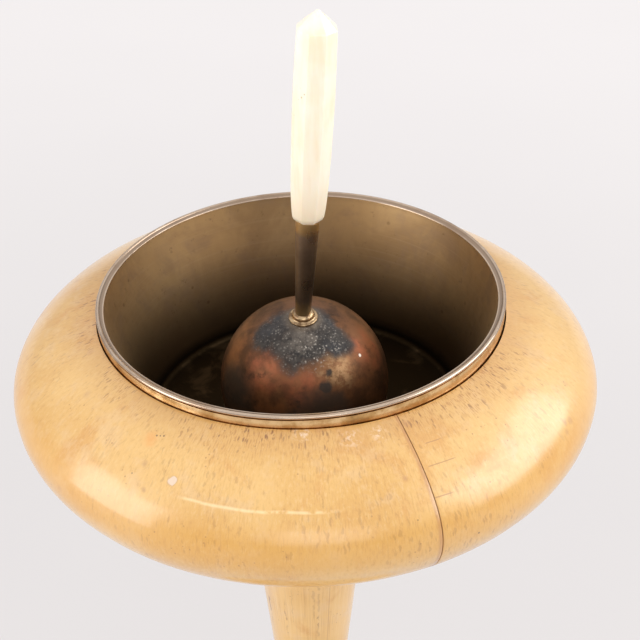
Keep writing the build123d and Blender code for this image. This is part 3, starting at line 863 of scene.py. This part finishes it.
# Painted shade: the lower front and the lower left of the ball are painted nearly black, where the ball sinks
# into the dark of the bowl; only the two small spots above are char.
shade_ragging = f.noise(70.0, 5.0, 0.7)
painted_low_shade = f.mask(f.near(on_ball(6.0, -38.0, 12.0), 75.0, 22.0 * MM), 31.0 * MM, 22.0 * MM)
char_and_shade = either(char_and_shade, f.times(painted_low_shade, f.ranged(shade_ragging, 0.55, 1.0)))
char_and_shade = either(char_and_shade, patch((-33.0, -19.0, 12.0), 12, 7))
tint = f.layer(tint, (0.012, 0.009, 0.006), f.times(char_and_shade, 0.88))
speck = f.mask(f.near(on_ball(26.3, -13.7, 28.3), 700.0, 0.8 * MM), 1.35 * MM, 1.0 * MM)
tint = f.layer(tint, (0.80, 0.74, 0.66), speck)
f.colour(tint)
dull = either(f.times(burn, 0.9), either(f.times(char_and_shade, 0.7), speck))
f.join(f.ranged(dull, 0.80, 0.05), f.shader.inputs["Metallic"])
f.rough(f.maths("ADD", f.times(patina, 0.55), f.times(dull, 0.45)), 0.34, 0.78)
f.bump(f.maths("ADD", f.times(fine_grain, 0.6), f.maths("ADD", f.times(patina, 0.4), ash)), 0.14, 0.5)
put_on(copper, dome, zone)
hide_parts("ball_upper_shell")
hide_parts("ball_lower_shell")
for piece in (dome, zone):
    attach(piece, "valve")

# %% [markdown]
# ## Collar and spindle
# A turned brass collar, a thin disc with a low domed boss, clamps the spindle to the ball. The
# spindle is a steel rod, thin at the collar and thicker towards the handle, browned and handled
# dark. It has been bent at its foot by years of pulling, so its threaded tenon keeps the ball's
# lean while the rod stands nearly upright. The two parts are turned apart and made one.

# %% Collar
collar_line = [(3.05, 40.95), (5.2, 40.72), (6.85, 40.5), (6.9, 40.75), (6.9, 41.25), (6.75, 41.5),
               (6.4, 41.66), (5.95, 41.74), (5.6, 41.86), (5.38, 42.15), (5.3, 42.6), (5.12, 43.2),
               (4.8, 43.75),
               (4.4, 44.15), (3.95, 44.42), (3.6, 44.5), (3.05, 44.5), (3.05, 40.95)]
collar = turned("spindle_collar", collar_line, steps=96)
stand_in(collar, BALL_FRAME)
smooth(collar, 40)

# %% [markdown]
# The collar is never polished, only rubbed by fingers, so its brass is browned in the grain.

# %% Worn brass
worn_brass = Finish("worn_brass", roughness=0.3, metallic=1.0)
f = worn_brass
grime = f.noise(380.0, 4.0, 0.65)
tint = f.layer((0.50, 0.36, 0.21), (0.20, 0.125, 0.07), f.mask(grime, 0.40, 0.62))
f.colour(tint)
f.rough(grime, 0.2, 0.46)
f.bump(grime, 0.05, 0.5)
put_on(worn_brass, collar)
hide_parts("spindle_flange")
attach(collar, "valve")

# %% [markdown]
# The rod is spun as one slow taper. A cylinder then cuts away what would stand inside the collar
# and the ball, and the straight threaded tenon is joined on with the ball's lean.

# %% Spindle
BEND = BALL_FRAME @ Vector((0, 0, 44.6 * MM))
BENT_FORWARD, BENT_RIGHT = radians(1.5), radians(3.3)
ROD_TURN = Matrix.Rotation(BENT_FORWARD, 4, "X") @ Matrix.Rotation(BENT_RIGHT, 4, "Y")
ROD_FRAME = Matrix.Translation(BEND) @ ROD_TURN

rod_line = [(0, -1.5), (3.7, -1.5)] + [(3.7 + 1.9 * i / 12, 49.9 * i / 12) for i in range(13)]
rod_line += [(3.0, 49.9), (3.0, 69.5), (2.6, 69.9), (0, 69.9)]
rod = turned("valve_spindle", rod_line, steps=96)
stand_in(rod, ROD_FRAME)

bpy.ops.object.select_all(action="DESELECT")
bpy.ops.mesh.primitive_cylinder_add(vertices=48, radius=12 * MM, depth=10 * MM, location=(0, 0, 39.6 * MM))
below_collar = bpy.context.active_object
bpy.ops.object.transform_apply(location=True, rotation=True, scale=True)
stand_in(below_collar, BALL_FRAME)
modify(rod, "BOOLEAN", operation="DIFFERENCE", object=below_collar, solver="EXACT")
bpy.data.objects.remove(below_collar)

tenon = turned("spindle_tenon", [(0, 30.0), (2.6, 30.0), (3.0, 30.4), (3.0, 46.1), (0, 46.1)], steps=96)
stand_in(tenon, BALL_FRAME)
modify(rod, "BOOLEAN", operation="UNION", object=tenon, solver="EXACT")
bpy.data.objects.remove(tenon)
smooth(rod, 35)

# %% [markdown]
# The rod is browned steel drawn through a die, so its grain runs along it. Just under the handle
# and at its foot the brown has worn to a golden tone, which is a mask by distance from those two
# places.

# %% Browned steel
gunmetal = Finish("browned_steel", roughness=0.3, metallic=1.0)
f = gunmetal
draw = f.noise(1.0, 3.0, 0.5, f.stretched(900, 900, 16))
smudge = f.noise(70.0, 3.0, 0.5)
tint = f.layer((0.42, 0.33, 0.25), (0.27, 0.205, 0.15), f.mask(smudge, 0.36, 0.66))
tint = f.layer(tint, (0.50, 0.41, 0.32), f.times(f.mask(draw, 0.54, 0.72), 0.3))
bared = f.mask(f.near(tuple(ROD_FRAME @ Vector((0, 0, 50 * MM))), 300.0, 3.0 * MM), 10.5 * MM, 7.6 * MM)
bared_foot = f.mask(f.near(tuple(BEND), 300.0, 4.0 * MM), 11.0 * MM, 6.0 * MM)
bared = f.maths("MAXIMUM", bared, f.times(bared_foot, 0.7))
tint = f.layer(tint, (0.68, 0.46, 0.20), f.times(bared, 0.85))
f.colour(tint)
f.rough(smudge, 0.2, 0.42)
f.bump(draw, 0.008, 0.4)
put_on(gunmetal, rod)
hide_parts("spindle")
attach(rod, "valve")

# %% [markdown]
# ## The handle
# The handle is cast in cream resin and filed to eight flats, fuller in the middle, with a low
# pointed top and a rounded lower end. An eight-sided cylinder is the blank: its top ring is
# extruded upwards section by section and resized each time, and the last ring is drawn in to the
# point. A small bevel then takes the sharpness off every edge, as polishing does.

# %% Handle
FLAT = cos(radians(22.5))
FACET_TURN = 24.0
SECTIONS = [(50.9, 5.95), (51.5, 6.5), (53.0, 7.1), (55.5, 7.45), (58.0, 7.7), (63.0, 8.05), (69.0, 8.35),
            (84.0, 8.75), (99.0, 8.95), (110.0, 8.95), (120.0, 8.85), (131.0, 8.65), (141.5, 8.4)]
bpy.ops.object.select_all(action="DESELECT")
bpy.ops.mesh.primitive_cylinder_add(vertices=8, radius=5.2 / FLAT * MM, depth=0.4 * MM,
                                    location=(0, 0, 50.2 * MM), end_fill_type="NGON")
grip = bpy.context.active_object
grip.name = "cream_handle"
grip.rotation_euler.z = radians(FACET_TURN)
bpy.ops.object.transform_apply(location=True, rotation=True, scale=True)


def select_faces(piece, wanted):
    bpy.ops.object.mode_set(mode="EDIT")
    bpy.ops.mesh.select_mode(type="FACE")
    bpy.ops.mesh.select_all(action="DESELECT")
    bpy.ops.object.mode_set(mode="OBJECT")
    for face in piece.data.polygons:
        face.select = wanted(face)
    bpy.ops.object.mode_set(mode="EDIT")


def grow(rise, scale):
    bpy.ops.mesh.extrude_region_move(TRANSFORM_OT_translate={"value": (0, 0, rise * MM)})
    bpy.ops.transform.resize(value=(scale, scale, 1))


top_now, size_now = 50.4, 5.2
select_faces(grip, lambda face: face.normal.z > 0.9)
for height, half in SECTIONS + [(145.6, 4.6), (149.3, 0.6)]:
    grow(height - top_now, half / size_now)
    top_now, size_now = height, half
bpy.ops.object.mode_set(mode="OBJECT")
soften_edges(grip, 0.5, 3, 12)
stand_in(grip, ROD_FRAME)
smooth(grip, 30)
print("handle:", [round(v / MM, 1) for v in grip.dimensions], "mm")

# %% [markdown]
# The resin lets a little light in, so it has some subsurface scattering under a thin gloss. It
# has yellowed in long clouds, is darker at the low end that fingers hold, and has brown flecks.

# %% Cream resin
cream = Finish("cream_resin", roughness=0.32)
f = cream
f.set(Subsurface_Weight=0.3, Subsurface_Scale=0.006, Coat_Weight=0.35, Coat_Roughness=0.18)
f.shader.inputs["Subsurface Radius"].default_value = (1.0, 0.7, 0.4)
flow = f.noise(1.0, 4.0, 0.6, f.stretched(190, 190, 26))
yellowed = f.noise(45.0, 3.0, 0.5)
fleck = f.times(f.mask(f.cells(300.0), 0.17, 0.09), f.mask(f.noise(70.0, 2.0, 0.5), 0.56, 0.64))
tint = f.layer((0.95, 0.86, 0.70), (0.89, 0.74, 0.52), f.times(f.mask(flow, 0.42, 0.68), 0.6))
tint = f.layer(tint, (0.96, 0.90, 0.78), f.times(f.mask(yellowed, 0.45, 0.65), 0.5))
low_end = f.mask(f.parts()[2], (EQUATOR + 118) * MM, (EQUATOR + 88) * MM)
tint = f.layer(tint, (0.84, 0.66, 0.43), f.times(low_end, 0.45))
tint = f.layer(tint, (0.45, 0.26, 0.12), f.times(fleck, 0.6))
f.colour(tint)
f.rough(yellowed, 0.24, 0.42)
f.bump(flow, 0.04, 0.35)
put_on(cream, grip)
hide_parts("handle")
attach(grip, "valve")

# %% [markdown]
# ## Pieces that show only when it is taken apart
# The ash pan, the seat ring, the wood, the iron and the steel keep their CAD shapes where those
# are right, and get their own finishes. The ash pan is turned again so that its bends are round.

# %% Ash pan
PAN = EQUATOR - 41.4
pan_line = [(0, EQUATOR - 34.1), (12.6, EQUATOR - 34.1), (14.6, EQUATOR - 34.5), (22.8, PAN + 1.5),
            (24.8, PAN + 0.9), (63.6, PAN + 0.9), (65.4, PAN + 1.3), (66.2, PAN + 2.4), (66.7, EQUATOR - 32.0),
            (67.15, EQUATOR - 31.9), (67.6, EQUATOR - 32.1), (67.1, PAN + 1.5), (66.2, PAN + 0.4), (64.8, PAN),
            (24.2, PAN), (22.6, PAN + 0.6), (14.2, EQUATOR - 35.2), (0, EQUATOR - 35.0)]
pan = turned("ash_dish", pan_line, steps=160)
smooth(pan, 40)

# %% [markdown]
# The pan is never seen in use, so its brass is left to tarnish, with black stains from hot ash.

# %% Tarnished brass
dull_brass = Finish("stained_brass", roughness=0.45, metallic=1.0)
f = dull_brass
azimuth, radius, height = round_coordinates(f)
rings = f.noise(1.0, 3.0, 0.6, f.vector(f.times(azimuth, 0.9), f.times(radius, 700.0), f.times(height, 700.0)))
stain = f.noise(40.0, 5.0, 0.6)
tint = f.layer((0.52, 0.38, 0.19), (0.24, 0.155, 0.08), f.mask(stain, 0.42, 0.62))
tint = f.layer(tint, (0.05, 0.04, 0.035), f.times(f.mask(f.noise(85.0, 5.0, 0.7), 0.52, 0.66), 0.7))
f.colour(tint)
f.rough(stain, 0.35, 0.62)
f.bump(rings, 0.03, 0.5)
put_on(dull_brass, pan)
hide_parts("ash_pan")
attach(pan, "ash_pan")

# %% [markdown]
# The wood under the parchment shows only in the well below the bowl. Its grain is noise drawn out
# along one axis, slow for the growth rings and fast for the fibres.

# %% Turned wood
wood = Finish("turned_wood", roughness=0.6)
f = wood
grain = f.noise(1.0, 5.0, 0.6, f.stretched(14, 95, 95), distortion=0.6)
fibre = f.noise(1.0, 4.0, 0.7, f.stretched(60, 900, 900))
tint = f.layer((0.50, 0.33, 0.17), (0.33, 0.19, 0.085), f.mask(grain, 0.42, 0.6))
tint = f.layer(tint, (0.24, 0.13, 0.06), f.times(f.mask(fibre, 0.55, 0.7), 0.5))
f.colour(tint)
f.rough(fibre, 0.5, 0.75)
f.bump(fibre, 0.08, 0.5)
for name in ("base_wood_core", "stem_wood_core", "head_wood_lower", "head_wood_upper"):
    put_on(wood, nodes[name])

# %% [markdown]
# Felt has no grain direction: a fine fuzz for the height and colour, slow matted patches for
# wear, and a sheen for the loose fibres that stand up at its edge.

# %% Felt
felt = Finish("green_felt", roughness=0.95)
f = felt
f.set(Sheen_Weight=0.4, Sheen_Roughness=0.5)
fuzz = f.noise(900.0, 4.0, 0.75)
matted = f.noise(70.0, 4.0, 0.6)
tint = f.layer((0.030, 0.060, 0.032), (0.060, 0.105, 0.058), f.mask(fuzz, 0.4, 0.62))
tint = f.layer(tint, (0.085, 0.105, 0.075), f.times(f.mask(matted, 0.52, 0.7), 0.5))
f.colour(tint)
f.rough(matted, 0.85, 1.0)
f.bump(fuzz, 0.5, 0.7)
put_on(felt, nodes["base_felt_pad"])

# %% [markdown]
# The ballast is rough sand-cast iron with rust in its pits.

# %% Cast iron
iron = Finish("cast_iron", roughness=0.7, metallic=0.7)
f = iron
pits = f.noise(260.0, 5.0, 0.7)
rust = f.noise(50.0, 5.0, 0.65)
tint = f.layer((0.065, 0.065, 0.07), (0.11, 0.105, 0.10), f.mask(pits, 0.45, 0.65))
tint = f.layer(tint, (0.19, 0.075, 0.03), f.times(f.mask(rust, 0.55, 0.7), 0.6))
f.colour(tint)
f.rough(rust, 0.55, 0.85)
f.bump(pits, 0.25, 0.6)
put_on(iron, nodes["base_ballast_disc"])

# %% [markdown]
# The rod, the nuts, the washers and the screws are plain bright steel gone slightly grey.

# %% Steel
steel = Finish("plain_steel", roughness=0.35, metallic=1.0)
f = steel
brushed = f.noise(1.0, 4.0, 0.6, f.stretched(900, 900, 120))
dull = f.noise(120.0, 4.0, 0.6)
tint = f.layer((0.56, 0.56, 0.57), (0.38, 0.37, 0.36), f.mask(dull, 0.42, 0.62))
f.colour(tint)
f.rough(brushed, 0.25, 0.5)
f.bump(brushed, 0.02, 0.5)
put_on(steel, *[nodes[n] for n in ("ballast_screws", "tie_rod", "base_washer", "base_nut", "clamp_washer",
                                   "clamp_nut", "spindle_washer", "spindle_nut")])
put_on(worn_brass, nodes["handle_insert"])

# %% [markdown]
# The seat ring sits low in the dark gap under the ball, so its brass is painted nearly black as painted shade,
# which keeps its top edge from showing lit.

# %% Brass painted dark as shade
shade_dark_brass = Finish("shade_dark_brass", roughness=0.5, metallic=0.9)
f = shade_dark_brass
shade_mottle = f.noise(150.0, 5.0, 0.65)
f.colour(f.layer((0.070, 0.045, 0.022), (0.022, 0.015, 0.009), f.mask(shade_mottle, 0.42, 0.6)))
f.rough(shade_mottle, 0.42, 0.7)
f.bump(shade_mottle, 0.06, 0.5)
put_on(shade_dark_brass, nodes["drain_seat_ring"])
print("finishes on CAD pieces done")

# %% [markdown]
# ## Studio
# The stand is shown on a wide pale floor, which also glows a little, as paper does under studio
# lamps. It glows least just behind the stand and more in front and far away, so that the
# lacquer's underside is bright and the far floor fades to nearly white.

# %% Floor
bpy.ops.object.select_all(action="DESELECT")
bpy.ops.mesh.primitive_plane_add(size=40, location=(0, 0, 0))
floor = bpy.context.active_object
floor.name = "studio_floor"
paper = Finish("backdrop_paper", roughness=0.9)
f = paper
fibres = f.noise(3.0, 2.0, 0.5)
f.colour(f.layer((0.30, 0.29, 0.29), (0.32, 0.31, 0.31), fibres))
f.rough(fibres, 0.85, 0.95)
f.set(Emission_Color=(1.0, 0.965, 0.965, 1.0), Specular_IOR_Level=0.0)
away = f.parts()[1]
glow_behind = f.ranged(f.mask(away, 0.28, 1.8), 0.39, 0.56)
glow_in_front = f.ranged(f.mask(away, 0.1, -0.4), 0.0, 0.12)
f.join(f.maths("ADD", glow_behind, glow_in_front), f.shader.inputs["Emission Strength"])
put_on(paper, floor)

# %% [markdown]
# ## Lights
# Large soft rectangles to the left and the right show in the lacquer as two soft-edged highlights
# at the sides of the head, and a third in front fills the shade and draws a thin bright arc. The
# air is bright overhead and dim below, as it is in a studio with a white ceiling.

# %% Lights
scene = bpy.context.scene
world = bpy.data.worlds.new("studio_air")
scene.world = world
world.use_nodes = True
air = world.node_tree
sky = air.nodes["Background"]
sky.inputs["Color"].default_value = (1.0, 0.985, 0.98, 1.0)
direction = air.nodes.new("ShaderNodeTexCoord").outputs["Generated"]
split = air.nodes.new("ShaderNodeSeparateXYZ")
brighter_above = air.nodes.new("ShaderNodeMapRange")
brighter_above.interpolation_type = "SMOOTHSTEP"
for name, value in (("From Min", -0.25), ("From Max", 0.75), ("To Min", 0.20), ("To Max", 1.06)):
    brighter_above.inputs[name].default_value = value
air.links.new(direction, split.inputs["Vector"])
air.links.new(split.outputs["Z"], brighter_above.inputs["Value"])
air.links.new(brighter_above.outputs["Result"], sky.inputs["Strength"])


def softbox(name, place, aim, width, height, watts):
    light = bpy.data.lights.new(name, "AREA")
    light.shape = "RECTANGLE"
    light.size = width
    light.size_y = height
    light.energy = watts
    lamp = bpy.data.objects.new(name, light)
    scene.collection.objects.link(lamp)
    lamp.location = place
    direction = Vector(aim) - Vector(place)
    lamp.rotation_euler = direction.to_track_quat("-Z", "Y").to_euler()
    return lamp


HEAD_MIDDLE = (0, 0, 0.47)
OVER_THE_BOWL = (0, 0, 0.6)
softbox("softbox_left", (-1.75, -0.65, 0.88), HEAD_MIDDLE, 1.2, 1.25, 18.5)
softbox("softbox_right", (1.76, -0.1, 1.4), HEAD_MIDDLE, 2.0, 1.1, 26)
softbox("softbox_front", (0.2, -2.4, 1.5), OVER_THE_BOWL, 1.4, 1.0, 8.5)

# %% [markdown]
# ## Camera
# The view looks down into the bowl at about 35 degrees with a short telephoto lens, close enough
# that the head fills the frame and the stem runs out of the bottom.

# %% Camera
lens = bpy.data.cameras.new("camera")
lens.sensor_width = 36.0
lens.lens = 78.75
lens.clip_start = 0.01
camera = bpy.data.objects.new("camera", lens)
scene.collection.objects.link(camera)
right = Vector((0.99973, -0.02037, -0.01084))
up = Vector((0.02026, 0.55032, 0.83471))
back = -Vector((0.01104, 0.83471, -0.55058))
view = Matrix((right, up, back)).transposed().to_4x4()
view.translation = Vector((0, -0.55698, 0.8639))
camera.matrix_world = view
scene.camera = camera
scene.view_settings.view_transform = "Standard"
scene.view_settings.look = "None"
scene.view_settings.exposure = 0.0
print("lens:", round(lens.lens, 2), "mm")
